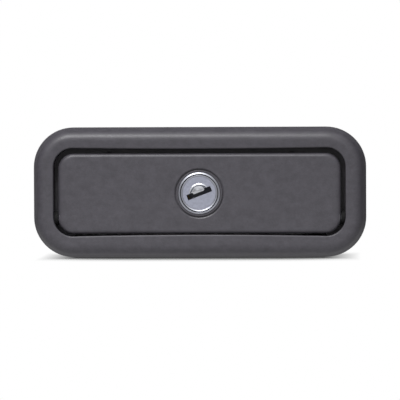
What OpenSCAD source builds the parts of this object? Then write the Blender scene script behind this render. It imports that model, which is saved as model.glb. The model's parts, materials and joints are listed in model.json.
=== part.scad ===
// Flush paddle compression lock for a hatch door, with a key barrel in the paddle.
// Each piece is drawn lying on its back: x to the right, y up the door, z out of its front.
// upright() then stands it up, so that the front looks along -Y and the door's face is the plane Y = 0.

/* [Bezel] */
// Width of the bezel
bezel_w = 120; // [100:0.5:160]
// Height of the bezel
bezel_h = 46.9; // [42:0.2:60]
// Outer corner radius of the bezel
bezel_r = 14.4; // [13:0.1:18]
// Width of the bezel's band, from its outer edge to the opening
bezel_band = 7.4; // [6.5:0.1:8.5]
// How far the bezel stands out from its back face
bezel_rise = 6.2; // [5.6:0.1:8]
// Height of the upright edge below the outer slope
bezel_edge = 1.2; // [0.6:0.1:2]
// Radius of the crest between the outer slope and the front of the band
crest_r = 3.6; // [2:0.1:4]
// Radius of the lip around the opening
lip_r = 0.5; // [0.2:0.1:0.8]
// Wall of the skirt that passes through the door
skirt_wall = 1.8; // [1.2:0.1:2.5]
// Depth of the skirt behind the bezel's back face
skirt_depth = 13; // [12.9:0.1:14]
// Thickness of the gasket under the bezel
gasket_t = 1; // [0.5:0.1:2]
// Diameter of the pilot holes for the door screws
door_screw_d = 2.8; // [2:0.1:3.4]
// Depth of the pilot holes for the door screws
door_screw_depth = 3.6; // [3:0.1:3.8]

/* [Paddle] */
// Gap between the paddle and the opening
paddle_gap = 1.7; // [1.4:0.1:2.2]
// How far the paddle sits below the middle of the opening
paddle_drop = 0.3; // [0:0.05:0.5]
// How far the paddle's front lies behind the bezel's front
paddle_recess = 0.8; // [0.3:0.1:1.4]
// Thickness of the paddle's front wall
paddle_wall = 2.4; // [2:0.1:2.8]
// Thickness of the rim around the paddle
rim_wall = 2; // [1.4:0.1:2.4]
// Depth of the rim, from the paddle's front
rim_depth = 6.4; // [5.9:0.1:6.9]
// Rounding of the paddle's front edge
paddle_edge_r = 1.4; // [0.6:0.1:1.8]
// Thickness of the ribs inside the paddle
rib_t = 1.2; // [0.8:0.1:1.6]

/* [Hinge] */
// Height of the hinge axis above the paddle's lower edge
hinge_up = 5.4; // [5:0.1:6]
// Depth of the hinge axis behind the paddle's front
hinge_back = 3.3; // [3.2:0.05:3.5]
// Diameter of the hinge pins
pin_d = 2.5; // [2:0.1:2.6]
// Wire of the return springs
spring_wire = 0.7; // [0.5:0.05:0.75]
// Turns of each return spring
spring_turns = 4; // [3:1:4]

/* [Key barrel] */
// Diameter of the barrel's face ring
ring_d = 15; // [14.6:0.1:16]
// Diameter of the recess around the face ring
collar_d = 18; // [17:0.1:18.4]
// Depth of the recess around the face ring
collar_depth = 0.7; // [0.4:0.1:1]
// Diameter of the barrel's body
barrel_d = 13.8; // [13.4:0.1:14]
// Width across the barrel's two flats
barrel_flats = 12.4; // [12:0.1:13]
// Diameter of the plug's shaft
plug_d = 10.4; // [10.2:0.1:10.8]
// Diameter of the plug's face
plug_face_d = 11.9; // [11.6:0.1:12]
// Width of the keyway
key_w = 9.2; // [8.4:0.1:9.3]
// Thickness of the keyway
key_t = 2; // [1.7:0.1:2.1]
// Slope of the keyway with the key drawn, anticlockwise from level
key_tilt = 21; // [0:1:45]

/* [Pawl] */
// Thickness of the pawl's steel plate
pawl_t = 2.5; // [2:0.1:2.8]
// Width of the pawl arm
arm_w = 18; // [16:0.5:20]
// Reach of the pawl arm behind the door's face
arm_reach = 25; // [24.5:0.1:26.5]
// Reach of the hook below the barrel's axis
hook_drop = 22; // [21.5:0.1:22.2]
// Rubber on the hook's tip
pad_wall = 0.8; // [0.5:0.1:0.9]
// Reach of the lock cam from the barrel's axis
cam_reach = 13.2; // [12.6:0.1:13.4]

/* [Hidden] */
$fn = 64;

plastic = "#565459";
rubber = "#1d1d1e";
zinc = "#a9abb6";
steel = "#8f9297";
spring_steel = "#77797d";
pale = "#a2a2a4";

// Clearances: a slack fit, a running fit, a seat that only touches, and the margin by which cuts overshoot
slack = 0.1;
running = 0.06;
seat = 0.02;
cut = 1;

// Opening in the bezel and the paddle that fills it
open_w = bezel_w - 2 * bezel_band;
open_h = bezel_h - 2 * bezel_band;
open_r = bezel_r - bezel_band;
paddle_w = open_w - 2 * paddle_gap;
paddle_h = open_h - 2 * paddle_gap;
paddle_r = open_r - paddle_gap;
face_z = bezel_rise - paddle_recess;
wall_z = face_z - paddle_wall;
rim_z = face_z - rim_depth;

// Slopes of the bezel's band, as the angle of each surface's outward normal
slope_normal = 24;
front_normal = 91.5;

// Hinge axis
hinge_y = -paddle_drop - paddle_h / 2 + hinge_up;
hinge_z = face_z - hinge_back;
knuckle_r = 3;
pin_seat = 4;
pin_stub = 1;
pin_groove = 0.3;
knuckle_in = 6;
spring_bay = 4.6;
lug_t = 1.6;
clip_t = 0.6;
clip_wall = 0.8;
clip_mouth = 0.8;
washer_wall = 1.3;
washer_r = pin_d / 2 + washer_wall;
knuckle_x = paddle_w / 2 - knuckle_in;
lug_x = knuckle_x - spring_bay - lug_t;
pin_x = lug_x - clip_t - pin_stub;
pin_end_x = open_w / 2 + pin_seat;

// Return springs: the coil on the pin, its leg under the bezel's peg and its leg against the paddle
coil_play = 0.25;
coil_gap = 0.08;
coil_r = pin_d / 2 + spring_wire / 2 + coil_play;
bay_play = 0.15;
bay_front_z = hinge_z + coil_r + spring_wire / 2 + bay_play;
leg_back_z = -6.5;
leg_down = 3;
leg_lead = 1.5;
peg_r = 1.2;
peg_z = -5;
peg_play = 0.05;
peg_y = hinge_y + coil_r + spring_wire / 2 + peg_r + peg_play;

// Closing stops
bumper_x = 33;
bumper_r = 1.7;
bumper_t = 1.1;
bumper_stem_r = 0.9;
bumper_barb = 0.4;
bumper_barb_t = 0.6;
ledge_w = 6;
ledge_t = 2.8;
ledge_down = 4.3;
bumper_y = paddle_h / 2 - paddle_drop - rim_wall / 2;
ledge_z = rim_z - slack - bumper_t;

// Barrel, from its front to its tail
axis_y = -paddle_drop;
collar_z = face_z - collar_depth;
flange_t = 0.55;
ring_z = collar_z + flange_t;
plug_face_t = 1.1;
plug_sink = 0.05;
plug_z = face_z - plug_sink;
disc_z = plug_z - plug_face_t;
boss_wall = 0.5;
boss_r = collar_d / 2 + boss_wall;
collar_lip = 0.6;
collar_groove = 0.55;
collar_land = 0.1;
boss_z = -2.5;
nut_t = 3;
nut_flats = 17;
nut_z = boss_z - pawl_t;
barrel_z = -10.9;
flat_z = disc_z - cut;
bead_r = 0.35;

// Keyway, window and shutter chamber in the plug
window_r = 3.6;
window_drop = 0.55;
shutter_gap = 0.15;
shutter_tongue = [4.4, 0.7];
tongue_r = 0.4;
shutter_t = 0.95;
shutter_back_z = disc_z - shutter_t;
dome_r = 6;
dome_sink = 0.2;
dome_z = plug_z - dome_sink - dome_r;
chamber_wall = 0.6;
chamber_r = plug_d / 2 - chamber_wall;
chamber_z = -0.3;
keyway_end_z = -7.5;
shutter_pin_r = 0.4;
shutter_pin_len = 7.8;
shutter_axis_y = 3.15;
shutter_knuckle_r = 0.7;
shutter_knuckle_len = 2.6;
shutter_turns = 3;
shutter_wire = 0.2;
shutter_coil_play = 0.05;
shutter_pitch = 0.3;
shutter_axis_z = disc_z - shutter_knuckle_r - shutter_gap;

// Wafers stacked behind the chamber
wafer_n = 5;
wafer_t = 0.9;
wafer_pitch = 1.4;
wafer_w = 5;
wafer_wall = 0.6;
wafer_z = chamber_z - wafer_wall;
wafer_groove = 0.5;
groove_z = keyway_end_z - wafer_wall;
wafer_window = [8.9, 2.1];
wafer_lug = [0.8, 1.3];
wafer_lug_x = 1.3;
wafer_spring_r = 0.45;
wafer_spring_bore = 0.25;
wafer_spring_len = 2.5;

// Tail of the plug and what is screwed to it
tail_w = 5;
cam_t = 1.6;
cam_w = 8;
cam_gap = 0.25;
cam_z = barrel_z - cam_gap;
tail_short = 0.2;
tail_z = cam_z - cam_t + tail_short;
cam_washer_r = 4.4;
cam_washer_t = 0.8;
cam_washer_z = cam_z - cam_t;
cam_screw_r = 1.2;
cam_head_r = 3.2;
cam_head_t = 2;
cam_recess = [0.9, 1.2];
cam_head_z = cam_washer_z - cam_washer_t;
cam_screw_len = 4.6;

// Keeper lug inside the skirt, in front of the turned cam
keeper_w = 12;
keeper_t = 2.5;
keeper_gap = 0.4;
keeper_z = cam_z + keeper_gap;
keeper_y = 10.2;

// Cover that closes the skirt behind the paddle, with a window for the pawl
cover_t = 1.5;
cover_z = -skirt_depth;
window_w = 31;
window_play = [0.8, 0.4];
cover_boss_r = 2.2;
cover_boss_len = 6;
cover_boss_root = 0.5;
cover_screw_in = [4.6, 5.4];
cover_screw_x = open_w / 2 - cover_screw_in[0];
cover_screw_y = open_h / 2 - cover_screw_in[1];
cover_screw_r = 1;
cover_head_r = 1.9;
cover_head_t = 1.1;
cover_recess = [0.6, 0.7];
cover_screw_len = 6;

// Pawl arm and hook
post_x = 17;
post_r = 3.6;
arm_screw_r = 1.7;
arm_screw_head_r = 3.4;
arm_screw_head_t = 2.2;
arm_screw_recess = [1, 1.3];
arm_screw_len = 7;
wing_w = 44;
wing_h = 11;
wing_r = 3;
bend_r = 1.5;
arm_top_y = axis_y - nut_flats / 2 - slack - bend_r;
arm_low_y = arm_top_y - pawl_t;
hook_low_y = arm_low_y - pawl_t;
hook_play = 0.6;
hook_front_z = -skirt_depth - hook_play;
hook_screw_x = 4.6;
hook_screw_z = -19.4;
hook_screw_r = 2;
hook_slot = 3;
hook_head_r = 3.3;
hook_head_t = 2.2;
hook_socket = [3, 1.3];
hook_nut_t = 3.2;
hook_nut_flats = 7;
hook_thread_end = 0.4;
pad_h = 5;
pad_side = 0.6;
pad_cheek = 1.8;
pad_r = 0.8;
rib_in = 1.5;
rib_short = 2;
gasket_in = 0.5;
gasket_hole = 0.4;

// Helpers

// Stands a piece up: its front, drawn towards +z, then looks along -Y.
module upright() {
    rotate([90, 0, 0]) children();
}

// Draws a piece and its mirror image across the middle of the lock.
module both_sides() {
    children();
    mirror([1, 0, 0]) children();
}

// Sweeps a 2D profile round a rounded rectangle. The profile's x runs outwards from the corner's centre.
module around(w, h, r) {
    for (k = [0:3]) {
        flat = k % 2 == 0;
        run = flat ? h - 2 * r : w - 2 * r;
        rotate([0, 0, 90 * k]) {
            translate([(flat ? w : h) / 2 - r, 0, 0])
                rotate([90, 0, 0]) linear_extrude(run, center = true) children();
            translate([(flat ? w : h) / 2 - r, run / 2, 0])
                rotate_extrude(angle = 90) children();
        }
    }
}

module rounded_rect(w, h, r) {
    square([w - 2 * r, h], center = true);
    square([w, h - 2 * r], center = true);
    for (sx = [-1, 1], sy = [-1, 1])
        translate([sx * (w / 2 - r), sy * (h / 2 - r)]) circle(r);
}

// A cylinder along z between two heights.
module rod(r, z0, z1) {
    translate([0, 0, min(z0, z1)]) cylinder(r = r, h = abs(z1 - z0));
}

// A round shape with two flats, as the barrel and the holes that hold it have.
module double_d(r, flats) {
    intersection() {
        circle(r);
        square([flats, 2 * r + cut], center = true);
    }
}

module hex(flats) {
    circle(r = flats / sqrt(3), $fn = 6);
}

// A cross recess cut up into a screw head whose end is at z = 0. Its size is [width, depth].
module cross_recess(head_r, size) {
    for (a = [0, 90]) rotate([0, 0, a]) translate([-head_r * 0.6, -size[0] / 2, -cut])
        cube([head_r * 1.2, size[0], cut + size[1]]);
}

// A quarter of a bent sheet's section about the origin, in the quadrant that starts at the angle turn.
module bend(r, t, turn) {
    intersection() {
        difference() {
            circle(r + t);
            circle(r);
        }
        rotate(turn) square(r + t + cut);
    }
}

// Extrudes a section that is drawn in y and z along x, about the middle.
module across(w) {
    translate([-w / 2, 0, 0]) rotate([90, 0, 90]) linear_extrude(w) children();
}

// Sweeps a round wire along a list of points that lie nearly across the x axis.
function unit(v) = v / norm(v);
function heading(p, i) = unit(p[min(i + 1, len(p) - 1)] - p[max(i - 1, 0)]);
function wire_ring(p, i, r, n) =
    let (t = heading(p, i), a = unit(cross(t, [1, 0, 0])), b = cross(t, a))
    [for (k = [0:n - 1]) p[i] + r * (cos(360 * k / n) * a + sin(360 * k / n) * b)];

module wire(p, r, n = 8) {
    last = len(p) - 1;
    polyhedron(
        points = [for (i = [0:last]) each wire_ring(p, i, r, n)],
        faces = concat(
            [[for (k = [0:n - 1]) k]],
            [for (i = [0:last - 1], k = [0:n - 1])
                [i * n + k, (i + 1) * n + k, (i + 1) * n + (k + 1) % n, i * n + (k + 1) % n]],
            [[for (k = [n - 1:-1:0]) last * n + k]]));
}

// Points of a coil wound about the x axis, from one angle to another.
function coil(r, x0, x1, a0, a1, steps) =
    [for (i = [0:steps]) let (s = i / steps, a = a0 + s * (a1 - a0))
        [x0 + s * (x1 - x0), r * cos(a), r * sin(a)]];

// Bezel and what stays with it

module bezel_profile() {
    crest_z = bezel_rise - crest_r;
    crest_x = bezel_r - (crest_r - (bezel_edge - crest_z) * sin(slope_normal)) / cos(slope_normal);
    lip_x = open_r + lip_r;
    lip_z = crest_z + (crest_r - lip_r - (lip_x - crest_x) * cos(front_normal)) / sin(front_normal);
    slope = [cos(slope_normal), sin(slope_normal)];
    front = [cos(front_normal), sin(front_normal)];
    polygon([
        [open_r, -skirt_depth],
        [open_r + skirt_wall, -skirt_depth],
        [open_r + skirt_wall, 0],
        [bezel_r, 0],
        [bezel_r, bezel_edge],
        [crest_x, crest_z] + crest_r * slope,
        [crest_x, crest_z] + crest_r * front,
        [lip_x, lip_z] + lip_r * front,
        [open_r, lip_z]]);
    intersection() {
        translate([crest_x, crest_z]) circle(crest_r);
        translate([open_r, 0]) square([bezel_r - open_r, bezel_rise]);
    }
    translate([lip_x, lip_z]) circle(lip_r);
}

// Places a child at each of the four door screws, in the middle of the band at the corners.
module at_door_screws() {
    reach = (bezel_r + open_r + skirt_wall) / 2 * cos(45);
    for (sx = [-1, 1], sy = [-1, 1])
        translate([sx * (bezel_w / 2 - bezel_r + reach), sy * (bezel_h / 2 - bezel_r + reach), 0])
            children();
}

module bezel() {
    color(plastic) upright() difference() {
        union() {
            around(bezel_w, bezel_h, bezel_r) bezel_profile();
            keeper_lug();
            both_sides() {
                bumper_ledge();
                spring_peg();
                cover_boss();
            }
        }
        at_cover_screws() rod(cover_screw_r, cover_z - cut, cover_z + cover_screw_len);
        at_door_screws() rod(door_screw_d / 2, -cut, door_screw_depth);
        both_sides() {
            hinge_line(paddle_w / 2, open_w / 2 + slack, washer_r + slack);
            hinge_line(open_w / 2 - skirt_wall - cut, pin_end_x, pin_d / 2 + seat);
            translate([bumper_x, bumper_y, ledge_z]) rod(bumper_stem_r + seat, -ledge_t - cut, cut);
        }
    }
}

// A cylinder on the hinge axis between two distances from the middle.
module hinge_line(x0, x1, r) {
    translate([x0, hinge_y, hinge_z]) rotate([0, 90, 0]) cylinder(r = r, h = x1 - x0);
}

// A tongue that hangs from the top of the skirt, with a gusset at each side.
module keeper_lug() {
    translate([-keeper_w / 2, keeper_y, keeper_z])
        cube([keeper_w, open_h / 2 + skirt_wall / 2 - keeper_y, keeper_t]);
    drop = open_h / 2 - keeper_y + skirt_wall / 2;
    for (x = [-1, 1]) translate([x * (keeper_w - rib_t) / 2, keeper_y, keeper_z + keeper_t])
        across(rib_t) polygon([[0, 0], [drop, 0], [drop, keeper_t]]);
}

module bumper_ledge() {
    translate([bumper_x - ledge_w / 2, open_h / 2 - ledge_down, ledge_z - ledge_t])
        cube([ledge_w, ledge_down + skirt_wall / 2, ledge_t]);
}

module spring_peg() {
    translate([knuckle_x - spring_bay / 2, peg_y, peg_z])
        rotate([0, 90, 0]) cylinder(r = peg_r, h = open_w / 2 + skirt_wall / 2 - knuckle_x + spring_bay / 2);
}

// Places a child at each of the four cover screws.
module at_cover_screws() {
    for (sx = [-1, 1], sy = [-1, 1]) translate([sx * cover_screw_x, sy * cover_screw_y, 0]) children();
}

module cover_boss() {
    front = cover_z + cover_t + cover_boss_len;
    for (sy = [-1, 1]) translate([cover_screw_x, sy * cover_screw_y, 0]) {
        rod(cover_boss_r, cover_z + cover_t, front);
        translate([0, -cover_boss_r, cover_z + cover_t])
            cube([cover_screw_in[0] + cover_boss_root, 2 * cover_boss_r, cover_boss_len]);
    }
}

module bezel_gasket() {
    color(rubber) upright() difference() {
        around(bezel_w, bezel_h, bezel_r)
            translate([open_r + skirt_wall + slack, -gasket_t])
                square([bezel_band - skirt_wall - slack - gasket_in, gasket_t]);
        at_door_screws() rod(door_screw_d / 2 + gasket_hole, -gasket_t - cut, cut);
    }
}

module paddle_bumpers() {
    color(rubber) upright() both_sides() translate([bumper_x, bumper_y, 0]) {
        rod(bumper_r, ledge_z, ledge_z + bumper_t);
        rod(bumper_stem_r, ledge_z - ledge_t - bumper_barb_t, ledge_z + bumper_t / 2);
        rod(bumper_stem_r + bumper_barb, ledge_z - ledge_t - bumper_barb_t, ledge_z - ledge_t);
    }
}

module hinge_pin() {
    difference() {
        hinge_line(pin_x, pin_end_x, pin_d / 2);
        difference() {
            hinge_line(lug_x - clip_t - slack, lug_x - slack, pin_d);
            hinge_line(pin_x, lug_x, pin_d / 2 - pin_groove);
        }
    }
}

module hinge_pin_left() {
    color(steel) upright() mirror([1, 0, 0]) hinge_pin();
}

module hinge_pin_right() {
    color(steel) upright() hinge_pin();
}

module hinge_washers() {
    color(rubber) upright() both_sides() difference() {
        hinge_line(paddle_w / 2 + slack, open_w / 2, washer_r);
        hinge_line(paddle_w / 2, open_w / 2 + cut, pin_d / 2 + seat);
    }
}

module hinge_clips() {
    color(spring_steel) upright() both_sides() difference() {
        hinge_line(lug_x - clip_t - slack / 2, lug_x - slack - slack / 2, pin_d / 2 + clip_wall);
        hinge_line(lug_x - 2 * clip_t, lug_x, pin_d / 2 - pin_groove + seat);
        translate([lug_x - 2 * clip_t, hinge_y - clip_mouth, hinge_z - pin_d - cut])
            cube([2 * clip_t, 2 * clip_mouth, pin_d + cut]);
    }
}

// One return spring: a leg under the bezel's peg, a coil round the pin and a leg against the paddle.
module return_spring() {
    x_out = knuckle_x - spring_wire;
    x_in = x_out - spring_turns * (spring_wire + coil_gap);
    turned = 360 * spring_turns + 90;
    translate([0, hinge_y, hinge_z]) wire(concat(
        [[x_out, coil_r, leg_back_z - hinge_z], [x_out, coil_r, -leg_lead]],
        coil(coil_r, x_out, x_in, 0, turned, 12 * spring_turns + 3),
        [[x_in, -leg_lead, coil_r], [x_in, -leg_down, coil_r]]), spring_wire / 2);
}

module return_spring_left() {
    color(spring_steel) upright() mirror([1, 0, 0]) return_spring();
}

module return_spring_right() {
    color(spring_steel) upright() return_spring();
}

// Paddle

module paddle_edge_profile() {
    square([paddle_r, face_z - paddle_edge_r - rim_z]);
    square([paddle_r - paddle_edge_r, face_z - rim_z]);
    translate([paddle_r - paddle_edge_r, face_z - paddle_edge_r - rim_z]) circle(paddle_edge_r);
}

module paddle_shell() {
    translate([0, -paddle_drop, rim_z]) difference() {
        union() {
            around(paddle_w, paddle_h, paddle_r) paddle_edge_profile();
            translate([0, 0, (face_z - rim_z) / 2])
                cube([paddle_w - 2 * paddle_r, paddle_h - 2 * paddle_r, face_z - rim_z], center = true);
        }
        translate([0, 0, -cut]) linear_extrude(wall_z - rim_z + cut)
            rounded_rect(paddle_w - 2 * rim_wall, paddle_h - 2 * rim_wall, paddle_r - rim_wall);
    }
}

// Upright ribs behind the paddle's front wall, clear of the pawl's wings.
module paddle_ribs() {
    first = wing_w / 2 + rib_in;
    step = (lug_x - first) / 3;
    for (i = [0:2])
        translate([first + i * step, -paddle_drop - paddle_h / 2 + rim_wall / 2, rim_z + rib_short])
            cube([rib_t, paddle_h - rim_wall, face_z - paddle_wall / 2 - rim_z - rib_short]);
}

module paddle_knuckles() {
    intersection() {
        union() {
            hinge_line(knuckle_x, paddle_w / 2, knuckle_r);
            translate([lug_x, hinge_y - knuckle_r, hinge_z - knuckle_r])
                cube([lug_t, 2 * knuckle_r, 2 * knuckle_r]);
        }
        translate([0, -paddle_drop - paddle_h / 2, rim_z])
            cube([paddle_w / 2, paddle_h, face_z - paddle_wall / 2 - rim_z]);
    }
}

module paddle() {
    color(plastic) upright() difference() {
        union() {
            paddle_shell();
            translate([0, axis_y, 0]) rod(boss_r, boss_z, face_z - paddle_wall / 2);
            both_sides() {
                translate([post_x, axis_y, 0]) rod(post_r, boss_z, face_z - paddle_wall / 2);
                paddle_ribs();
                paddle_knuckles();
            }
        }
        translate([0, axis_y, 0]) {
            rod(ring_d / 2 + slack, collar_z, face_z + cut);
            rod(collar_d / 2, face_z - collar_land, face_z + cut);
            difference() {
                union() {
                    rod(collar_d / 2, collar_z, face_z + cut);
                    translate([0, 0, face_z - collar_lip]) cylinder(
                        r1 = collar_d / 2, r2 = collar_d / 2 + collar_lip + cut, h = collar_lip + cut);
                }
                rod(collar_d / 2 - collar_groove, collar_z - cut, face_z + 2 * cut);
            }
            translate([0, 0, boss_z - cut]) linear_extrude(collar_z - boss_z + 2 * cut)
                double_d(barrel_d / 2 + slack, barrel_flats + 2 * slack);
            rod(barrel_d / 2 + slack, flat_z - slack, collar_z + cut);
        }
        both_sides() {
            translate([post_x, axis_y, 0]) rod(arm_screw_r, boss_z - cut, nut_z + arm_screw_len);
            hinge_line(lug_x - cut, paddle_w / 2 + cut, pin_d / 2 + running);
            hinge_line(pin_x - slack, lug_x, pin_d / 2 + clip_wall + slack);
            translate([lug_x + lug_t, hinge_y - leg_down - spring_wire, rim_z - cut])
                cube([spring_bay, leg_down + coil_r + 2 * spring_wire, bay_front_z - rim_z + cut]);
        }
    }
}

// Key barrel

module lock_barrel() {
    color(zinc) upright() translate([0, axis_y, 0]) difference() {
        union() {
            rod(ring_d / 2, collar_z, ring_z);
            rod(barrel_d / 2, flat_z, collar_z);
            translate([0, 0, barrel_z]) linear_extrude(flat_z - barrel_z)
                double_d(barrel_d / 2, barrel_flats);
        }
        rod(plug_d / 2 + running, barrel_z - cut, ring_z + cut);
        rod(plug_face_d / 2 + slack, disc_z - slack, ring_z + cut);
        rotate([0, 0, key_tilt]) translate([0, 0, groove_z])
            linear_extrude(wafer_z + slack - groove_z)
                square([plug_d + 2 * wafer_groove, wafer_w + 2 * slack], center = true);
    }
}

module barrel_face_ring() {
    inner = plug_face_d / 2 + slack;
    outer = ring_d / 2;
    color("silver") upright() translate([0, axis_y, 0]) rotate_extrude() {
        translate([inner, ring_z]) square([outer - inner, bead_r]);
        for (r = [inner + bead_r, outer - bead_r])
            translate([r, ring_z + bead_r]) circle(bead_r);
    }
}

module barrel_nut() {
    color(steel) upright() translate([0, axis_y, nut_z - nut_t]) difference() {
        linear_extrude(nut_t) hex(nut_flats);
        translate([0, 0, -cut]) cylinder(r = barrel_d / 2 + seat, h = nut_t + 2 * cut);
    }
}

// Keyway with the half-moon window above it, as it is cut in the plug's face.
module key_window() {
    square([key_w, key_t], center = true);
    intersection() {
        translate([0, -window_drop]) circle(window_r);
        translate([-window_r, 0]) square([2 * window_r, window_r]);
    }
}

// Outline of one wafer, grown by a clearance for the slot that it slides in.
module wafer_outline(gap) {
    intersection() {
        circle(plug_d / 2 - slack + 2 * gap);
        square([plug_d + cut, wafer_w + 2 * gap], center = true);
    }
    translate([wafer_lug_x - gap, 0]) square([wafer_lug[0] + 2 * gap, wafer_w / 2 + wafer_lug[1] + gap]);
}

module each_wafer() {
    for (i = [0:wafer_n - 1]) translate([0, 0, wafer_z - i * wafer_pitch - wafer_t]) children();
}

module key_plug() {
    color(zinc) upright() translate([0, axis_y, 0]) difference() {
        union() {
            rod(plug_face_d / 2, disc_z, plug_z);
            rod(plug_d / 2, barrel_z, disc_z);
            translate([-tail_w / 2, -tail_w / 2, tail_z]) cube([tail_w, tail_w, barrel_z - tail_z]);
        }
        rotate([0, 0, key_tilt]) {
            translate([0, 0, disc_z - cut]) linear_extrude(plug_face_t + 2 * cut) key_window();
            rod(chamber_r, chamber_z, disc_z);
            translate([0, 0, keyway_end_z]) linear_extrude(chamber_z - keyway_end_z + cut)
                square([key_w, key_t], center = true);
            each_wafer() translate([0, 0, -running]) linear_extrude(wafer_t + 2 * running) {
                wafer_outline(running);
                translate([wafer_lug_x - wafer_spring_len - running, 0])
                    square([wafer_spring_len + 2 * running, wafer_w / 2 + wafer_lug[1] + running]);
            }
            translate([-shutter_pin_len / 2, shutter_axis_y, shutter_axis_z]) rotate([0, 90, 0])
                cylinder(r = shutter_pin_r + seat, h = shutter_pin_len);
        }
        rod(cam_screw_r + seat, tail_z - cut, cam_head_z + cam_screw_len);
    }
}

module wafers() {
    color("#b79a5b") upright() translate([0, axis_y, 0]) rotate([0, 0, key_tilt]) each_wafer()
        linear_extrude(wafer_t) difference() {
            wafer_outline(0);
            square(wafer_window, center = true);
        }
}

// The wafers' springs are close-wound, so each one is a plain tube.
module wafer_springs() {
    y = wafer_w / 2 + wafer_lug[1] / 2;
    color(spring_steel) upright() translate([0, axis_y, 0]) rotate([0, 0, key_tilt]) each_wafer()
        translate([wafer_lug_x - wafer_spring_len + slack, y, wafer_t / 2]) rotate([0, 90, 0]) difference() {
            cylinder(r = wafer_spring_r, h = wafer_spring_len - slack - seat);
            translate([0, 0, -cut]) cylinder(r = wafer_spring_bore, h = wafer_spring_len + 2 * cut);
        }
}

module lock_cam() {
    tip_r = cam_w / 2;
    color(steel) upright() translate([0, axis_y, cam_z - cam_t]) linear_extrude(cam_t) difference() {
        union() {
            circle(tail_w);
            translate([0, -cam_w / 2]) square([cam_reach - tip_r, cam_w]);
            translate([cam_reach - tip_r, 0]) circle(tip_r);
        }
        square(tail_w + 2 * running, center = true);
    }
}

module cam_washer() {
    color(steel) upright() translate([0, axis_y, 0]) difference() {
        rod(cam_washer_r, cam_washer_z - cam_washer_t, cam_washer_z);
        rod(cam_screw_r + slack, cam_washer_z - cam_washer_t - cut, cam_washer_z + cut);
    }
}

module cam_screw() {
    color(steel) upright() translate([0, axis_y, 0]) difference() {
        union() {
            rod(cam_head_r, cam_head_z - cam_head_t, cam_head_z);
            rod(cam_screw_r, cam_head_z, cam_head_z + cam_screw_len);
        }
        translate([0, 0, cam_head_z - cam_head_t]) cross_recess(cam_head_r, cam_recess);
    }
}

// Where the shutter ends: level with the keyway's upper side, but for a tongue that dips into the keyway.
module shutter_edge() {
    translate([-window_r, key_t / 2]) square([2 * window_r, window_r]);
    translate([0, key_t / 2 - shutter_tongue[1] + window_r / 2])
        rounded_rect(shutter_tongue[0], window_r, tongue_r);
}

module dust_shutter() {
    color("silver") upright() translate([0, axis_y, 0]) rotate([0, 0, key_tilt]) difference() {
        union() {
            intersection() {
                translate([0, (window_r - window_drop) / 2, dome_z]) sphere(dome_r);
                translate([0, 0, shutter_back_z]) linear_extrude(plug_z - shutter_back_z) intersection() {
                    translate([0, -window_drop]) circle(window_r - shutter_gap);
                    shutter_edge();
                }
            }
            translate([-shutter_knuckle_len / 2, shutter_axis_y, shutter_axis_z]) rotate([0, 90, 0])
                cylinder(r = shutter_knuckle_r, h = shutter_knuckle_len);
        }
        translate([-window_r, shutter_axis_y, shutter_axis_z]) rotate([0, 90, 0])
            cylinder(r = shutter_pin_r + running, h = 2 * window_r);
    }
}

module shutter_pin() {
    color(steel) upright() translate([0, axis_y, 0]) rotate([0, 0, key_tilt])
        translate([-shutter_pin_len / 2, shutter_axis_y, shutter_axis_z]) rotate([0, 90, 0])
            cylinder(r = shutter_pin_r, h = shutter_pin_len);
}

module shutter_spring() {
    r = shutter_pin_r + shutter_coil_play + shutter_wire / 2;
    x = shutter_knuckle_len / 2 + shutter_wire;
    x_end = x + shutter_turns * shutter_pitch;
    color(spring_steel) upright() translate([0, axis_y, 0]) rotate([0, 0, key_tilt])
        translate([0, shutter_axis_y, shutter_axis_z])
            wire(coil(r, x, x_end, 0, 360 * shutter_turns, 10 * shutter_turns), shutter_wire / 2, 6);
}

// Pawl

module pawl_arm() {
    color(steel) upright() difference() {
        union() {
            translate([0, 0, nut_z]) linear_extrude(pawl_t) difference() {
                union() {
                    translate([0, axis_y]) circle(wing_h);
                    translate([0, axis_y]) rounded_rect(wing_w, wing_h, wing_r);
                    translate([-arm_w / 2, arm_top_y]) square([arm_w, -arm_top_y]);
                }
                translate([-wing_w / 2, arm_top_y + bend_r - wing_h]) square([wing_w, wing_h]);
            }
            across(arm_w) {
                translate([arm_top_y + bend_r, nut_z - bend_r]) bend(bend_r, pawl_t, 90);
                translate([arm_low_y, -arm_reach]) square([pawl_t, arm_reach + nut_z - bend_r]);
            }
        }
        translate([0, axis_y, nut_z - cut]) linear_extrude(pawl_t + 2 * cut)
            double_d(barrel_d / 2 + slack, barrel_flats + 2 * slack);
        both_sides() translate([post_x, axis_y, 0]) rod(arm_screw_r + slack, nut_z - cut, boss_z + cut);
        at_hook_screws() rod(hook_screw_r + slack, arm_low_y - cut, arm_top_y + cut);
    }
}

// Places a child at each hook screw, with its axis up the door.
module at_hook_screws() {
    both_sides() translate([hook_screw_x, 0, hook_screw_z]) rotate([-90, 0, 0]) children();
}

module pawl_arm_screws() {
    color(steel) upright() both_sides() translate([post_x, axis_y, 0]) difference() {
        union() {
            rod(arm_screw_head_r, nut_z - arm_screw_head_t, nut_z);
            rod(arm_screw_r - seat, nut_z, nut_z + arm_screw_len - slack);
        }
        translate([0, 0, nut_z - arm_screw_head_t]) cross_recess(arm_screw_head_r, arm_screw_recess);
    }
}

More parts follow.
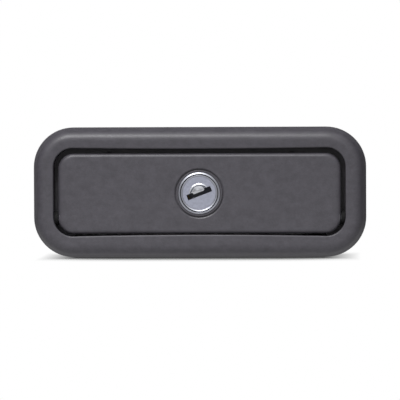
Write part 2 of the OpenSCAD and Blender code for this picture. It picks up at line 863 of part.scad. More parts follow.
module pawl_hook() {
    color(steel) upright() difference() {
        across(arm_w) {
            translate([hook_low_y, bend_r - arm_reach]) square([pawl_t, arm_reach + hook_front_z - bend_r]);
            translate([hook_low_y - bend_r, bend_r - arm_reach]) bend(bend_r, pawl_t, -90);
            translate([-hook_drop, -arm_reach - pawl_t]) square([hook_drop + hook_low_y - bend_r, pawl_t]);
        }
        at_hook_screws() {
            for (d = [-1, 1]) translate([0, d * hook_slot / 2, 0])
                rod(hook_screw_r + slack, hook_low_y - cut, arm_low_y + cut);
            translate([-hook_screw_r - slack, -hook_slot / 2, hook_low_y - cut])
                cube([2 * (hook_screw_r + slack), hook_slot, pawl_t + 2 * cut]);
        }
    }
}

module hook_screws() {
    color(steel) upright() at_hook_screws() difference() {
        union() {
            rod(hook_head_r, hook_low_y - hook_head_t, hook_low_y);
            rod(hook_screw_r, hook_low_y, arm_top_y + hook_nut_t + hook_thread_end);
        }
        translate([0, 0, hook_low_y - hook_head_t - cut])
            linear_extrude(cut + hook_socket[1]) hex(hook_socket[0]);
    }
}

module hook_nuts() {
    color(steel) upright() at_hook_screws() difference() {
        translate([0, 0, arm_top_y]) linear_extrude(hook_nut_t) hex(hook_nut_flats);
        rod(hook_screw_r + seat, arm_top_y - cut, arm_top_y + hook_nut_t + cut);
    }
}

module pawl_pad() {
    thick = pawl_t + 2 * pad_cheek;
    color(rubber) upright() difference() {
        across(arm_w + 2 * pad_side)
            translate([-hook_drop - pad_wall + pad_h / 2, -arm_reach - pawl_t / 2])
                rounded_rect(pad_h, thick, pad_r);
        translate([-arm_w / 2 - seat, -hook_drop - seat, -arm_reach - pawl_t - seat])
            cube([arm_w + 2 * seat, pad_h + cut, pawl_t + 2 * seat]);
    }
}

module back_cover() {
    window_low = arm_low_y - window_play[0];
    window_high = axis_y + cam_reach + window_play[1];
    color(pale) upright() difference() {
        translate([0, 0, cover_z]) linear_extrude(cover_t) difference() {
            rounded_rect(open_w - 2 * seat, open_h - 2 * seat, open_r - seat);
            translate([-window_w / 2, window_low]) square([window_w, window_high - window_low]);
        }
        at_cover_screws() rod(cover_screw_r + slack, cover_z - cut, cover_z + cover_t + cut);
    }
}

module cover_screws() {
    color(steel) upright() at_cover_screws() difference() {
        union() {
            rod(cover_head_r, cover_z - cover_head_t, cover_z);
            rod(cover_screw_r - seat, cover_z, cover_z + cover_screw_len - slack);
        }
        translate([0, 0, cover_z - cover_head_t]) cross_recess(cover_head_r, cover_recess);
    }
}

bezel();
bezel_gasket();
paddle_bumpers();
hinge_pin_left();
hinge_pin_right();
hinge_washers();
hinge_clips();
return_spring_left();
return_spring_right();
paddle();
lock_barrel();
barrel_face_ring();
barrel_nut();
pawl_arm();
pawl_arm_screws();
pawl_hook();
hook_screws();
hook_nuts();
pawl_pad();
key_plug();
wafers();
wafer_springs();
lock_cam();
cam_washer();
cam_screw();
dust_shutter();
shutter_pin();
shutter_spring();
back_cover();
cover_screws();
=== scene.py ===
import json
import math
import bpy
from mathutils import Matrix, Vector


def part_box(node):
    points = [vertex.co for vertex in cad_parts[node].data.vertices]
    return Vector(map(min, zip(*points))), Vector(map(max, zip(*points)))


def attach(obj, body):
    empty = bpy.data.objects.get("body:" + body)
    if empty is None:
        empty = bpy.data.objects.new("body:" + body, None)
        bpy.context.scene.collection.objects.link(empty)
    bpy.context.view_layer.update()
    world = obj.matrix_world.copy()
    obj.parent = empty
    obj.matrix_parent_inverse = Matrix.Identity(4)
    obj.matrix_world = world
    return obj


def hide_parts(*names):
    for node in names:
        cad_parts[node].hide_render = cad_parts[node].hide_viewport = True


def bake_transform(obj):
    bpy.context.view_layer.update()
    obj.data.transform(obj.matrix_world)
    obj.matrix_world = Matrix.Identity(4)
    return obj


bl_info = {
    "name": "Compression Lock",
    "version": (1, 0, 0),
    "blender": (4, 5, 0),
    "location": "3D View > Sidebar > Compression Lock",
    "description": "Dresses the packed compression lock and sets up its studio",
    "category": "Object",
}

import bmesh
import bpy
from bpy.props import FloatProperty, FloatVectorProperty, PointerProperty
from mathutils import Matrix, Vector

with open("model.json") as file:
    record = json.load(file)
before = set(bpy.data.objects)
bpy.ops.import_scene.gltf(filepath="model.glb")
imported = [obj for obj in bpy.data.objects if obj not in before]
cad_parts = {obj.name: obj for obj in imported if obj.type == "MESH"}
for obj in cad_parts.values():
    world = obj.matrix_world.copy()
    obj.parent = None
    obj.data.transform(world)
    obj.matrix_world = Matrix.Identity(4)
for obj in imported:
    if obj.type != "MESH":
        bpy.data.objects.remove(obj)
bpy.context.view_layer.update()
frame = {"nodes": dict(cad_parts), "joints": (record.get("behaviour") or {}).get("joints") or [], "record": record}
NODES = frame["nodes"]
BEZEL_LOW, BEZEL_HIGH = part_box("bezel")
PADDLE_LOW, PADDLE_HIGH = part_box("paddle")
JOINTS = {joint["name"]: Vector(joint["pos_m"]) for joint in frame["joints"]}
HINGE_UP = JOINTS["paddle_swing"].z
HINGE_FRONT = -JOINTS["paddle_swing"].y
KEY_UP = JOINTS["key_turn"].z

# Where the pieces along the hinge begin and end, from the lock's middle out to each side
CLIP_START = 0.0370
LUG_START = 0.0387
BAY_START = 0.0403
KNUCKLE_START = 0.0449
KNUCKLE_END = 0.0505

# Screws of the pawl's arm and of the back cover, from the lock's middle and from the opening's edge
ARM_SCREW_SIDE = 0.017
COVER_SCREW_SIDE = 0.048
COVER_SCREW_INSET = 0.0054

# How far the boss round the key barrel and the screw posts reach behind the door's face
BOSS_BACK = -0.0025

# Points along the short sides, the long sides and each corner of a rounded rectangle
SHORT = 12
LONG = 56
ARC = 16
LOOP = 2 * (SHORT + LONG) + 4 * ARC

# Steps round turned shapes, from the face ring down to the thin rods, and along a fillet
RING_STEPS = 128
TURN_STEPS = 96
SOCKET_STEPS = 72
SCREW_STEPS = 64
POST_STEPS = 48
BORE_STEPS = 40
PEG_STEPS = 32
FILLET_STEPS = 8

# Distance of the edge loop that keeps a flat face flat beside a fillet
SUPPORT = 0.00005

# Directions out of the four sides, from the right side round to the bottom
SIDES = (Vector((1, 0)), Vector((0, 1)), Vector((-1, 0)), Vector((0, -1)))

# Most of a noise lies between these two values
NOISE_RANGE = (0.3, 0.7)
WHITE = (1, 1, 1, 1)


def linear(red, green, blue):
    """A colour given in screen values from 0 to 255, as the shaders want it."""
    made = []
    for value in (red, green, blue):
        share = value / 255
        made.append(share / 12.92 if share <= 0.04045 else ((share + 0.055) / 1.055) ** 2.4)
    return (*made, 1.0)


def length(name, description, default):
    """A size in metres."""
    return FloatProperty(name=name, description=description, default=default, unit="LENGTH", precision=5)


def colour(name, description, screen):
    """A colour, given in screen values."""
    return FloatVectorProperty(
        name=name, description=description, default=linear(*screen), size=4, subtype="COLOR", min=0, max=1
    )


def angle(name, description, degrees):
    """An angle, given in degrees."""
    return FloatProperty(name=name, description=description, default=math.radians(degrees), subtype="ANGLE")


def number(name, description, default):
    """A plain number."""
    return FloatProperty(name=name, description=description, default=default)


class BezelSettings(bpy.types.PropertyGroup):
    """Sizes of the moulded bezel."""

    width: length("Width", "Across the bezel", BEZEL_HIGH.x - BEZEL_LOW.x)
    height: length("Height", "From its lower edge to its upper edge", BEZEL_HIGH.z - BEZEL_LOW.z)
    rise: length("Rise", "How far the front stands off the door", -BEZEL_LOW.y)
    depth: length("Skirt depth", "How far the skirt reaches into the door", BEZEL_HIGH.y)
    corner: length("Corner radius", "Radius of the outer corners", 0.0144)
    band: length("Band", "From the outer edge to the opening", 0.0074)
    edge: length("Edge", "Height of the upright edge under the slope", 0.0012)
    slope: length("Slope", "How far the outer slope leans in", 0.00223)
    crest: length("Crest radius", "Rounding between the slope and the front", 0.0036)
    lip: length("Lip radius", "Rounding at the opening", 0.0005)
    wall: length("Skirt wall", "Thickness of the skirt", 0.0018)
    bow_top: length("Upper bow", "How far the upper rail bows into the opening", 0.00036)
    bow_low: length("Lower bow", "How far the lower rail bows into the opening", 0.00052)
    rail: length("Lower rail", "How far the lower rail's lip stands into the opening", 0.0003)


class PaddleSettings(bpy.types.PropertyGroup):
    """Sizes of the paddle that is pulled to open the door."""

    width: length("Width", "Across the paddle", PADDLE_HIGH.x - PADDLE_LOW.x)
    height: length("Height", "From its lower edge to its upper edge", PADDLE_HIGH.z - PADDLE_LOW.z)
    corner: length("Corner radius", "Radius of the paddle's corners", 0.0057)
    middle: length("Middle", "Height of its centre above the bezel's centre", KEY_UP)
    face: length("Face", "How far its face stands off the door", -PADDLE_LOW.y)
    back: length("Rim back", "Where the rim ends behind the face", -0.0010)
    edge: length("Edge radius", "Rounding of its front edge", 0.0014)
    side_edge: length("Side rounding", "How far that rounding reaches in at the sides", 0.0020)
    wall: length("Front wall", "Thickness of the front wall", 0.0024)
    rim: length("Rim wall", "Thickness of the rim", 0.0020)
    reach: length("Lower reach", "How far the lower edge reaches towards the lower rail", 0.0002)
    collar: length("Collar radius", "Where the chamfer round the key barrel meets the face", 0.0092)
    collar_lip: length("Collar chamfer", "Width of that chamfer", 0.0004)
    groove: length("Groove width", "Width of the groove inside the chamfer", 0.0005)
    groove_depth: length("Groove depth", "Depth of that groove", 0.0008)


class BarrelSettings(bpy.types.PropertyGroup):
    """Sizes of the key barrel."""

    middle: length("Middle", "Height of the barrel's axis above the bezel's centre", KEY_UP)
    radius: length("Thread radius", "Outer radius of the barrel's thread", 0.0069)
    flat: length("Half flats", "Half the distance across the barrel's flats", 0.0062)
    pitch: length("Thread pitch", "Distance between the thread's turns", 0.0010)
    thread: length("Thread depth", "Depth of the thread", 0.0005)
    ring: length("Ring radius", "Outer radius of the face ring", 0.0075)
    bore: length("Bore radius", "Radius of the barrel's bore", 0.00526)
    nut: length("Nut", "Width of the barrel's nut across its flats", 0.0170)
    tilt: angle("Key tilt", "How far the keyway is turned from level", 21)
    window: length("Window radius", "Radius of the shutter's window in the plug", 0.0036)
    window_drop: length("Window drop", "How far that radius starts below the plug's axis", 0.00055)
    keyway: length("Keyway", "Thickness of the keyway", 0.0020)


class FinishSettings(bpy.types.PropertyGroup):
    """Colours of the finishes."""

    plastic: colour("Moulded plastic", "Bezel and paddle", (71, 69, 75))
    pale: colour("Pale plastic", "Back cover", (186, 186, 188))
    nylon: colour("Nylon", "Hinge washers", (26, 26, 27))
    # this rubber also darkens the face ring's groove, as painted shade
    rubber: colour("Rubber", "Gasket, pad and the joint in the face ring", (30, 30, 31))
    stops: colour("Grey rubber", "Stops of the paddle", (66, 65, 69))
    nickel: colour("Satin nickel", "Key plug", (177, 180, 195))
    zinc: colour("Cast zinc", "Barrel", (168, 170, 178))
    ring: colour("Satin chrome", "Face ring", (190, 192, 201))
    chrome: colour("Chrome", "Dust shutter and the edge of its window", (214, 216, 222))
    plated: colour("Zinc plate", "Pawl, cam, screws and nuts", (172, 174, 176))
    spring: colour("Spring steel", "Springs, pins and clips", (130, 131, 134))
    brass: colour("Brass", "Wafers", (120, 101, 64))
    ease: length("Eased edges", "Rounding of the metal edges", 0.00018)


class StageSettings(bpy.types.PropertyGroup):
    """Studio floor, light and camera."""

    floor: colour("Floor", "Colour of the floor where it gives light back", (116, 116, 116))
    distance: length("Camera distance", "From the camera to the bezel's front", 1.2)
    picture: length("Picture width", "Width of the picture at the bezel's front", 0.14371)
    aim: length("Aim", "Height of the picture's centre above the bezel's centre", -0.00272)
    height: angle("Elevation", "How far the camera looks down", 2.0)
    side: angle("Side", "How far the camera stands to the right", 2.7)
    aim_side: length("Side aim", "How far the picture's centre lies to the right of the bezel's", 0.00033)
    roll: angle("Roll", "How far the camera leans over", -0.25)
    key: number("Key light", "Power of the soft light in front of the lock, in watts", 2.9)
    key_side: angle("Key side", "How far the soft light stands to the left", 20)
    key_height: angle("Key height", "How far the soft light stands above the lock", 48)
    key_away: length("Key distance", "From the soft light to the lock", 0.6)
    key_width: length("Key width", "Width of the soft light", 0.26)
    key_depth: length("Key depth", "The soft light's other side", 0.2)
    room_front: number("Room in front", "Brightness of the room before the lock", 0.8)
    room_back: number("Room behind", "Brightness of the room behind the lock", 0.06)
    rear: number("Far end", "Brightness added at the room's far end behind the lock", 1.4)
    ceiling: number("Ceiling", "Brightness added overhead", 0.9)
    # painted bounce light: how strongly the floor glows before the lock, as if it gave light back
    floor_glow: number("Table", "Brightness that the floor gives back before the lock", 0.45)


class LockSettings(bpy.types.PropertyGroup):
    """All settings of the lock."""

    bezel: PointerProperty(type=BezelSettings)
    paddle: PointerProperty(type=PaddleSettings)
    barrel: PointerProperty(type=BarrelSettings)
    finish: PointerProperty(type=FinishSettings)
    stage: PointerProperty(type=StageSettings)


# Shapes


def smooth_step(value, low, high):
    """Goes from 0 to 1 as a value goes from low to high, with a soft start and end."""
    share = min(max((value - low) / (high - low), 0), 1)
    return share * share * (3 - 2 * share)


def place(x, up, front):
    """A point from its place across, up the door and towards the viewer."""
    return Vector((x, -front, up))


def full_turn(count):
    """Even angles once round."""
    return [2 * math.pi * i / count for i in range(count)]


def fillet_path(corners):
    """Points along a path whose corners are rounded. Each corner is (across, front, radius)."""
    count = len(corners)
    points = []
    for i, (across, front, radius) in enumerate(corners):
        here = Vector((across, front))
        if radius == 0:
            points.append(here)
            continue
        before = (Vector(corners[i - 1][:2]) - here).normalized()
        after = (Vector(corners[(i + 1) % count][:2]) - here).normalized()
        half = before.angle(after) / 2
        reach = radius / math.tan(half)
        centre = here + (before + after).normalized() * (radius / math.sin(half))
        start = here + before * reach - centre
        sweep = start.angle_signed(here + after * reach - centre)
        points.append(centre + start + before * SUPPORT)
        for k in range(FILLET_STEPS + 1):
            points.append(centre + Matrix.Rotation(-sweep * k / FILLET_STEPS, 2) @ start)
        points.append(here + after * (reach + SUPPORT))
    return points


def rounded_loop(half_w, half_h, corner, front, middle, bow=(0.0, 0.0)):
    """A closed loop round a rounded rectangle. Its upper and lower sides may bow towards the middle."""
    points = []
    for k, out in enumerate(SIDES):
        along = Vector((-out.y, out.x))
        level = k % 2 == 1
        reach = half_h if level else half_w
        run = (half_w if level else half_h) - corner
        steps = LONG if level else SHORT
        for i in range(steps):
            share = 2 * i / steps - 1
            sink = bow[k // 2] * (1 - share * share) if level else 0
            points.append(out * (reach - sink) + along * run * share)
        middle_of_arc = out * (reach - corner) + along * run
        for i in range(ARC):
            turn = math.pi / 2 * i / ARC
            points.append(middle_of_arc + corner * (math.cos(turn) * out + math.sin(turn) * along))
    return [place(p.x, p.y + middle, front) for p in points]


def circle_loop(radius, front, middle):
    """A closed loop round a circle that faces the viewer, with as many points as a rounded rectangle."""
    made = []
    for i in range(LOOP):
        turn = 2 * math.pi * (i - SHORT / 2) / LOOP
        made.append(place(radius * math.cos(turn), middle + radius * math.sin(turn), front))
    return made


def skin(bm, loops, around=False, caps=True):
    """Joins loops of equal length with quads. The last is joined to the first, or both ends are closed."""
    rings = [[bm.verts.new(p) for p in loop] for loop in loops]
    pairs = list(zip(rings, rings[1:]))
    if around:
        pairs.append((rings[-1], rings[0]))
    for low, high in pairs:
        for i in range(len(low)):
            bm.faces.new((low[i - 1], low[i], high[i], high[i - 1]))
    if caps and not around:
        bm.faces.new(rings[0])
        bm.faces.new(rings[-1])
    return rings


def turned(bm, profile, spot, count, around=False):
    """A turned shape from a profile of (radius, along). spot puts (across, up, along) in the row frame."""
    loops = []
    for radius, along in profile:
        loops.append([spot(radius * math.cos(t), radius * math.sin(t), along) for t in full_turn(count)])
    skin(bm, loops, around)


def rod(bm, radius, start, end, spot, count):
    """A plain round rod between two places along its axis."""
    turned(bm, ((radius, start), (radius, end)), spot, count)


def block(bm, across, up, front, side=1):
    """A box between limits across, up and to the front. On the left side it is mirrored."""
    x = sorted((side * across[0], side * across[1]))
    loops = []
    for f in front:
        loops.append([place(x[i], up[j], f) for i, j in ((0, 0), (1, 0), (1, 1), (0, 1))])
    skin(bm, loops)


def hex_nut(bm, flats, ends, bore, spot, first=0.0):
    """A hexagon nut with chamfered corners. ends are its lower and upper end along its axis."""
    low, high = ends
    chamfer = 0.085 * flats
    lead = 0.0002
    rows = ((bore + lead, low, False), (flats / 2, low, False), (flats, low + chamfer, True))
    rows += ((flats, high - chamfer, True), (flats / 2, high, False), (bore + lead, high, False))
    rows += ((bore, high - lead, False), (bore, low + lead, False))
    loops = []
    for size, along, cornered in rows:
        loop = []
        for turn in full_turn(TURN_STEPS):
            lean = (turn - first + math.pi / 6) % (math.pi / 3) - math.pi / 6
            reach = size / 2 / math.cos(lean) if cornered else size
            loop.append(spot(reach * math.cos(turn), reach * math.sin(turn), along))
        loops.append(loop)
    skin(bm, loops, around=True)


def pan_screw(bm, spot, base, head, shank, reach):
    """A screw with a domed head that looks to the back. head is its radius and its height."""
    radius, height = head
    top = base - height
    centre = 0.0002
    chamfer = 0.0004
    arc = 8
    # Shares of the head's radius at its flat and its shoulder, and of its height at its rim and above it
    flat = 0.35
    shoulder = 0.45
    rim = 0.2
    dome = 0.79
    section = [(centre, top), (flat * radius, top)]
    for k in range(arc + 1):
        turn = math.pi / 2 * k / arc
        across = radius * (shoulder + (1 - shoulder) * math.sin(turn))
        section.append((across, base - height * (rim + dome * math.cos(turn))))
    section += [(radius, base), (shank, base)]
    section += [(shank, base + reach - chamfer), (shank - chamfer, base + reach)]
    turned(bm, section, spot, SCREW_STEPS)


def cross_recess(bm, x, up, top, radius, width, depth):
    """A cross that narrows with its depth, to be cut out of a screw's head."""
    arm = 0.62 * radius
    above = 1.2
    bottom = 0.45
    loops = []
    for share, front in ((above, top - depth), (1.0, top), (bottom, top + depth)):
        long = arm * share
        thin = width / 2 * (0.5 + 0.5 * share)
        loop = []
        for out in SIDES:
            along = Vector((-out.y, out.x))
            for corner in (long * out - thin * along, long * out + thin * along, thin * out + thin * along):
                loop.append(place(x + corner.x, up + corner.y, front))
        loops.append(loop)
    skin(bm, loops)


def wire(bm, path, radius):
    """A round wire along a path, closed at both ends."""
    steps = 12
    loops = []
    side = None
    for i, here in enumerate(path):
        before = path[max(i - 1, 0)]
        after = path[min(i + 1, len(path) - 1)]
        heading = (after - before).normalized()
        side = side or heading.orthogonal()
        side = (side - heading * side.dot(heading)).normalized()
        other = heading.cross(side)
        loops.append([here + radius * (math.cos(t) * side + math.sin(t) * other) for t in full_turn(steps)])
    skin(bm, loops)


def along_front(x, up):
    """Puts a turned shape on an axis that points at the viewer."""
    return lambda a, b, along: place(x + a, up + b, along)


def along_hinge(up, front, side):
    """Puts a turned shape on an axis that runs across the lock, out to one side."""
    return lambda a, b, along: place(side * along, up + a, front + b)


def along_door(x, front):
    """Puts a turned shape on an axis that runs up the door."""
    return lambda a, b, along: place(x + a, along, front + b)


def mesh_object(name, bm):
    """An object made from a bmesh, with its faces turned outwards."""
    bmesh.ops.recalc_face_normals(bm, faces=bm.faces)
    mesh = bpy.data.meshes.new(name)
    bm.to_mesh(mesh)
    bm.free()
    made = bpy.data.objects.new(name, mesh)
    bpy.context.scene.collection.objects.link(made)
    return made


def skinned_object(name, loops, around=False):
    """An object whose surface runs over loops."""
    bm = bmesh.new()
    skin(bm, loops, around)
    return mesh_object(name, bm)


def turned_object(name, profile, spot, count):
    """A ring turned from a closed profile."""
    bm = bmesh.new()
    turned(bm, profile, spot, count, around=True)
    return mesh_object(name, bm)


def combine(piece, bm, operation):
    """Joins a shape to a piece, or cuts it out of the piece."""
    tool = mesh_object(piece.name + "_tool", bm)
    change = piece.modifiers.new(operation, "BOOLEAN")
    change.operation = operation
    change.solver = "EXACT"
    change.object = tool
    depsgraph = bpy.context.evaluated_depsgraph_get()
    result = bpy.data.meshes.new_from_object(piece.evaluated_get(depsgraph))
    if not result.polygons:
        raise RuntimeError(piece.name + " has nothing left after " + operation)
    piece.modifiers.clear()
    piece.data = result
    bpy.data.objects.remove(tool)


def pan_screws(name, spots, base, head, shank, reach, recess):
    """Screws with a cross in their heads, at spots of (across, up). recess is its width and depth."""
    bm = bmesh.new()
    cuts = bmesh.new()
    radius, height = head
    for x, up in spots:
        pan_screw(bm, along_front(x, up), base, head, shank, reach)
        cross_recess(cuts, x, up, base - height, radius, *recess)
    piece = mesh_object(name, bm)
    combine(piece, cuts, "DIFFERENCE")
    return piece


def paint(thing, material):
    """Gives a piece or a node one material and smooth shading."""
    thing.data.materials.clear()
    thing.data.materials.append(material)
    thing.data.shade_smooth()


def weigh_normals(thing):
    """Keeps large faces flat beside rounded edges."""
    weigh = thing.modifiers.new("Weighted normals", "WEIGHTED_NORMAL")
    weigh.keep_sharp = True


def finish_piece(piece, body, slot, material, *nodes):
    """Smooths a piece, paints it, and lets it ride on a body in place of CAD nodes."""
    paint(piece, material)
    piece.data.set_sharp_from_angle(angle=math.radians(32))
    weigh_normals(piece)
    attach(piece, body)
    if nodes:
        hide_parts(*nodes)


def dress_node(name, material, ease=0.0):
    """Paints a CAD node and eases its sharp edges."""
    node = NODES[name]
    paint(node, material)
    weld = node.modifiers.new("Weld", "WELD")
    weld.merge_threshold = 0.000002
    clean = node.modifiers.new("Clean flats", "DECIMATE")
    clean.decimate_type = "DISSOLVE"
    clean.angle_limit = math.radians(0.6)
    if ease:
        bevel = node.modifiers.new("Eased edges", "BEVEL")
        bevel.width = ease
        bevel.segments = 2
        bevel.limit_method = "ANGLE"
        bevel.angle_limit = math.radians(38)
        bevel.miter_outer = "MITER_ARC"
    weigh_normals(node)


# Finishes


def add_node(tree, kind, *sources, **options):
    """A new shader node with its options set and its first sockets linked to sources."""
    made = tree.nodes.new("ShaderNode" + kind)
    for option, value in options.items():
        setattr(made, option, value)
    for source, socket in zip(sources, made.inputs):
        tree.links.new(source, socket)
    return made


def fill(node, values):
    """Sets sockets of a node by name."""
    for socket, value in values.items():
        node.inputs[socket].default_value = value


def remap(tree, source, start, end, low=0.0, high=1.0, curve="LINEAR"):
    """A value that goes from low to high as its source goes from start to end."""
    limits = add_node(tree, "MapRange", source, interpolation_type=curve)
    fill(limits, {"From Min": start, "From Max": end, "To Min": low, "To Max": high})
    return limits.outputs["Result"]


def arithmetic(tree, operation, *sources):
    """The result of one step of arithmetic."""
    return add_node(tree, "Math", *sources, operation=operation).outputs["Value"]


def parts_of(tree, space):
    """The X, Y and Z of a point in one of Blender's texture spaces."""
    where = add_node(tree, "TexCoord").outputs[space]
    return add_node(tree, "SeparateXYZ", where).outputs


def blank_finish(name):
    """A new node material, with its tree and its shader."""
    material = bpy.data.materials.new(name)
    material.use_nodes = True
    tree = material.node_tree
    return material, tree, tree.nodes["Principled BSDF"]


def speckle(tree, size, detail=2.0, stretch=(1.0, 1.0, 1.0), fineness=0.5):
    """Noise with patches of a real size in metres, laid in the object's own space."""
    fit = add_node(tree, "Mapping", add_node(tree, "TexCoord").outputs["Object"])
    fill(fit, {"Scale": stretch})
    noise = add_node(tree, "TexNoise", fit.outputs["Vector"])
    fill(noise, {"Scale": 1 / size, "Detail": detail, "Roughness": fineness})
    return noise.outputs["Fac"]


def spread(tree, source, target, low, high):
    """Lets noise move a shader's value between two limits."""
    tree.links.new(remap(tree, source, *NOISE_RANGE, low, high), target)


def mottle(tree, source, target, tone, change):
    """Lets noise lighten and darken a colour by a share."""
    ramp = add_node(tree, "ValToRGB", source)
    shares = (1 - change, 1 + change)
    for element, position, share in zip(ramp.color_ramp.elements, NOISE_RANGE, shares):
        element.position = position
        element.color = (tone[0] * share, tone[1] * share, tone[2] * share, 1)
    tree.links.new(ramp.outputs["Color"], target)


def bumps(tree, shader, source, height, strength):
    """Lets noise raise the surface by a real height in metres."""
    bump = add_node(tree, "Bump")
    fill(bump, {"Strength": strength, "Distance": height})
    tree.links.new(source, bump.inputs["Height"])
    tree.links.new(bump.outputs["Normal"], shader.inputs["Normal"])


def moulded_plastic(name, tone, rough, grain, shine=0.46, flow=0.2):
    """Satin plastic from a spark-eroded mould: fine grain with faint clouds of flow."""
    material, tree, shader = blank_finish(name)
    clouds = speckle(tree, 0.003, detail=4.0, stretch=(0.8, 1.0, 1.0), fineness=0.85)
    fine = speckle(tree, grain)
    mottle(tree, clouds, shader.inputs["Base Color"], tone, flow)
    spread(tree, fine, shader.inputs["Roughness"], *rough)
    bumps(tree, shader, fine, height=0.00003, strength=0.9)
    fill(shader, {"Specular IOR Level": shine})
    return material


def rubber_finish(name, tone):
    """Dull rubber with a chalky bloom."""
    material, tree, shader = blank_finish(name)
    bloom = speckle(tree, 0.0035, detail=5.0)
    pores = speckle(tree, 0.0003)
    mottle(tree, bloom, shader.inputs["Base Color"], tone, change=0.16)
    spread(tree, pores, shader.inputs["Roughness"], low=0.68, high=0.86)
    bumps(tree, shader, pores, height=0.00002, strength=0.5)
    fill(shader, {"Specular IOR Level": 0.3})
    return material


def metal_finish(name, tone, rough, patch, grain, height, change, stretch=(1, 1, 1), dark=None):
    """Metal with a patchy tone and a grain that may be drawn out one way. dark says where painted shade darkens
    it.
    """
    material, tree, shader = blank_finish(name)
    patches = speckle(tree, patch, detail=4.0)
    fine = speckle(tree, grain, detail=3.0, stretch=stretch)
    mottle(tree, patches, shader.inputs["Base Color"], tone, change)
    spread(tree, fine, shader.inputs["Roughness"], *rough)
    bumps(tree, shader, fine, height, strength=0.6)
    fill(shader, {"Metallic": 1.0})
    if dark:
        paint_shade_inside(tree, shader.inputs["Base Color"], *dark)
    return material


def paint_shade_inside(tree, tone, start, end):
    """Paints shade into a colour: it grows dark behind the lock's face, between two distances in front of the
    door, as in the keyway's hollow.
    """
    darkest = 0.42
    depth = parts_of(tree, "Object")["Y"]
    dim = add_node(tree, "VectorMath", tone.links[0].from_socket, operation="SCALE")
    tree.links.new(remap(tree, depth, -start, -end, 1.0, darkest), dim.inputs["Scale"])
    tree.links.new(dim.outputs["Vector"], tone)


def finishes():
    """The lock's materials by name, made once. Their own names differ from the frame's own materials."""
    tones = bpy.context.scene.lock_settings.finish
    plastics = {
        "moulded_plastic": dict(tone=tones.plastic, rough=(0.38, 0.48), grain=0.00035),
        "pale_plastic": dict(tone=tones.pale, rough=(0.5, 0.62), grain=0.0005, flow=0.06),
        "nylon": dict(tone=tones.nylon, rough=(0.7, 0.85), grain=0.0004, shine=0.15),
    }
    rubbers = {
        "rubber": dict(tone=tones.rubber),
        "grey_rubber": dict(tone=tones.stops),
    }
    metals = {
        "satin_nickel": dict(
            tone=tones.nickel,
            rough=(0.36, 0.5),
            patch=0.0009,
            grain=0.00016,
            height=0.000008,
            change=0.09,
            # painted shade: the plug darkens inside its keyway and window, behind its face
            dark=(0.0051, 0.0046),
        ),
        "cast_zinc": dict(
            tone=tones.zinc, rough=(0.34, 0.5), patch=0.0012, grain=0.0003, height=0.00001, change=0.1
        ),
        "satin_chrome": dict(
            tone=tones.ring, rough=(0.4, 0.5), patch=0.003, grain=0.0003, height=0.000002, change=0.05
        ),
        "bright_edge": dict(
            tone=tones.chrome, rough=(0.34, 0.44), patch=0.003, grain=0.0003, height=0.000002, change=0.03
        ),
        "chrome": dict(
            tone=tones.chrome, rough=(0.1, 0.16), patch=0.004, grain=0.0014, height=0.0004, change=0.03
        ),
        "zinc_plate": dict(
            tone=tones.plated, rough=(0.26, 0.42), patch=0.003, grain=0.0004, height=0.000004, change=0.08
        ),
        "spring_steel": dict(
            tone=tones.spring,
            rough=(0.22, 0.36),
            patch=0.0015,
            grain=0.00025,
            height=0.000003,
            change=0.08,
            stretch=(0.2, 1, 1),
        ),
        "brass": dict(
            tone=tones.brass, rough=(0.26, 0.4), patch=0.0012, grain=0.0002, height=0.000004, change=0.1
        ),
    }
    made = {}
    for make, looks in ((moulded_plastic, plastics), (rubber_finish, rubbers), (metal_finish, metals)):
        for name, look in looks.items():
            own = name + "_finish"
            made[name] = bpy.data.materials.get(own) or make(own, **look)
    return made


# Pieces


